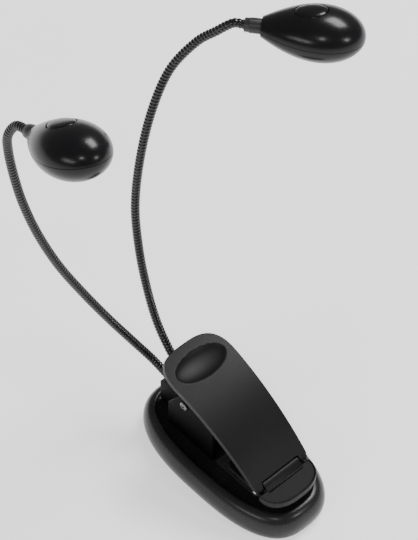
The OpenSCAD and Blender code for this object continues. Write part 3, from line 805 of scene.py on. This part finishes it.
def make_head(side):
    yaw, lift, roll = TURN[side]
    tail = Vector(ROUTES[side][-1]) * MM
    place = (Matrix.Translation(tail) @ Matrix.Rotation(math.radians(yaw), 4, "Z")
             @ Matrix.Rotation(math.radians(-lift), 4, "Y") @ Matrix.Rotation(math.radians(roll), 4, "X"))
    body = f"head_{side}"

    def put(o, nodes, on=body):
        o.data.transform(place)
        o.data.update()
        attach(o, on)
        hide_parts(*nodes)
        return o

    top = half(egg_mesh(f"lamp_{side}_top_shell"), True)
    bevel(top, 0.28, 3, 50)
    bake(top, 40)
    cut(top, egg_mesh("t", WALL), oval_tool(BUTTON_X, 14.9, 12.1, 3, 20))
    bevel(top, 0.22, 2, 55)
    bake(top, 40)
    put(top, [f"head_{side}_top_shell"])

    low = half(egg_mesh(f"lamp_{side}_bottom_shell"), False)
    bevel(low, 0.28, 3, 50)
    bake(low, 40)
    hole = [(-3, AXIS), (-3, 1.8), (4.8, 1.8), (4.8, 1.1), (8, 1.1), (8, AXIS)]
    holes = [turned("t", hole, HEAD, (POST_X, y, -12), (0, 0, 1), 28) for y in POST_YS]
    cut(low, egg_mesh("t", WALL), oval_tool(WIDE_X, 19, 16, -20, 0), *holes)
    post = [(0, 1.0), (0, 1.9), (2.25, 1.9), (2.25, 1.0)]
    posts = [turned("p", post, HEAD, (POST_X, y, -7.5), (0, 0, 1), 28) for y in POST_YS]
    low_all = join(f"lamp_{side}_bottom_shell_", low, *posts)
    put(low_all, [f"head_{side}_bottom_shell"])

    # push button: shallow dome with a soft edge
    n, rings = 72, []
    crown = HEAD_T / 2 * egg(BUTTON_X)
    for f, z in ((1.0, -3.2), (1.0, -0.55), (0.985, -0.22), (0.95, -0.02), (0.88, 0.14), (0.75, 0.27), (0.55, 0.33),
                 (0.35, 0.33), (0.15, 0.33), (0.02, 0.33)):
        ring = []
        for k in range(n):
            a = 2 * math.pi * k / n
            x, y = BUTTON_HX * f * math.cos(a), BUTTON_HY * f * math.sin(a)
            full = egg(BUTTON_X + x)
            drop = crown - HEAD_T / 2 * full * math.sqrt(max(0, 1 - (y / (HEAD_W / 2 * full)) ** 2))
            ring.append((BUTTON_X + x, y, crown + z - (drop if z > -3 else 0)))
        rings.append(ring)
    cap = loft("cap", rings, HEAD)
    stem_prof = [(0, AXIS), (0, 1.5), (6, 1.6), (6, AXIS)]
    stem = turned("stem", stem_prof, HEAD, (BUTTON_X, 0, crown - 7.2), (0, 0, 1), 24)
    button = join(f"lamp_{side}_push_button", cap, stem)
    put(button, [f"head_{side}_button"], f"button_{side}")

    prof = [(0, 2.3), (0, 2.95), (0.25, 3.15), (2.0, 3.2), (2.2, 3.3), (2.35, 3.45), (9.4, 3.5), (10.0, 3.4),
            (10.0, 2.3)]
    socket = turned(f"lamp_{side}_tail_socket", prof, TAIL, (0, 0, 0), (1, 0, 0), 48)
    put(socket, [f"head_{side}_ferrule"])

    rings = [oval(WIDE_X, 9.4 * f, 7.9 * f, z, 64)
             for f, z in ((0.96, -9.8), (1.0, -9.65), (1.0, -8.7), (0.97, -8.5), (0.5, -8.5), (0.02, -8.5))]
    window = loft(f"lamp_{side}_window", rings, LENS)
    put(window, [f"head_{side}_lens"])

    prof = [(0, AXIS), (0, 1.9), (0.4, 1.9), (0.4, LED_R), (LED_DROP, LED_R)]
    prof += [(LED_DROP + LED_R * math.sin(a), LED_R * math.cos(a)) for a in np.linspace(0.2, 1.55, 8)]
    leds = [turned("led", prof, LED, (WIDE_X, y, BOARD_Z), (0, 0, -1), 32) for y in LED_YS]
    led = join(f"lamp_{side}_leds", *leds)
    put(led, [f"head_{side}_leds"])

    pair = [cross_screw("s", (POST_X, y, -7.3), (0, 0, -1), 1.7, 0.75, 0.95, 4.8, 0.5) for y in POST_YS]
    screws = join(f"lamp_{side}_shell_screws", *pair)
    put(screws, [f"head_{side}_screws"])


for side in "lr":
    make_neck(side)
    make_head(side)

# Pieces whose CAD shape is shown as it is
CAD_LOOKS = {"contact_plates": STEEL, "head_l_board": BOARD, "head_r_board": BOARD, "head_l_switch": SWITCH,
             "head_r_switch": SWITCH}
for name, material in CAD_LOOKS.items():
    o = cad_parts[name]
    o.data.materials.clear()
    o.data.materials.append(material)

# ---------------------------------------------------------------- stage, lights, camera


def pale_floor():
    """Plain ground that glows weakly, so that it comes nearer to the photo's white one."""
    m, nt, bsdf = new_material("pale_floor")
    coord = nt.nodes.new("ShaderNodeTexCoord")
    soft = node(nt, "ShaderNodeTexNoise", Scale=9, Detail=3.0)
    nt.links.new(coord.outputs["Object"], soft.inputs["Vector"])
    tone = ramp(nt, soft.outputs["Fac"], [(0.3, 0.86), (0.7, 0.89)])
    nt.links.new(tone.outputs["Color"], bsdf.inputs["Base Color"])
    nt.links.new(tone.outputs["Color"], bsdf.inputs["Emission Color"])
    bsdf.inputs["Emission Strength"].default_value = 0.9
    bsdf.inputs["Roughness"].default_value = 0.85
    bsdf.inputs["Specular IOR Level"].default_value = 0.1
    n, width = 24, 8000
    verts = [((i / n - 0.5) * width, (j / n - 0.5) * width, 0) for j in range(n + 1) for i in range(n + 1)]
    faces = [[j * (n + 1) + i, j * (n + 1) + i + 1, (j + 1) * (n + 1) + i + 1, (j + 1) * (n + 1) + i]
             for j in range(n) for i in range(n)]
    return mesh_object("floor", verts, faces, m)


floor = pale_floor()

world = bpy.data.worlds.new("studio")
world.use_nodes = True
background = world.node_tree.nodes["Background"]
background.inputs["Color"].default_value = (1, 1, 1, 1)
background.inputs["Strength"].default_value = 0.32
bpy.context.scene.world = world


def softbox(name, at, target, size, power_w):
    """Area light at a place in metres, turned to a target."""
    data = bpy.data.lights.new(name, "AREA")
    data.shape = "RECTANGLE"
    data.size, data.size_y = size
    data.energy = power_w
    o = bpy.data.objects.new(name, data)
    bpy.context.scene.collection.objects.link(o)
    o.location = at
    o.rotation_euler = (Vector(target) - Vector(at)).to_track_quat("-Z", "Y").to_euler()
    return o


softbox("key_box", (-0.10, 1.10, 1.80), (0, 0, 0.1), (0.95, 0.65), 40)
softbox("front_box", (0.72, -0.78, 1.34), (0, 0, 0.1), (0.16, 0.16), 3.2)
softbox("right_box", (1.60, 0.50, 1.05), (0, 0, 0.1), (0.22, 0.30), 7)
softbox("side_box", (0.15, -1.55, 0.85), (0, 0, 0.05), (0.9, 0.25), 6)

cam_data = bpy.data.cameras.new("camera")
cam_data.lens = 152.5
cam_data.sensor_width = 36
cam = bpy.data.objects.new("camera", cam_data)
bpy.context.scene.collection.objects.link(cam)
right = Vector((0.6769, 0.7361, 0)).normalized()
back = Vector((0.4781, -0.4396, 0.7604)).normalized()
up = back.cross(right)
cam.matrix_world = Matrix.Translation((0.4666, -0.4440, 0.8966)) @ Matrix((right, up, back)).transposed().to_4x4()
bpy.context.scene.camera = cam
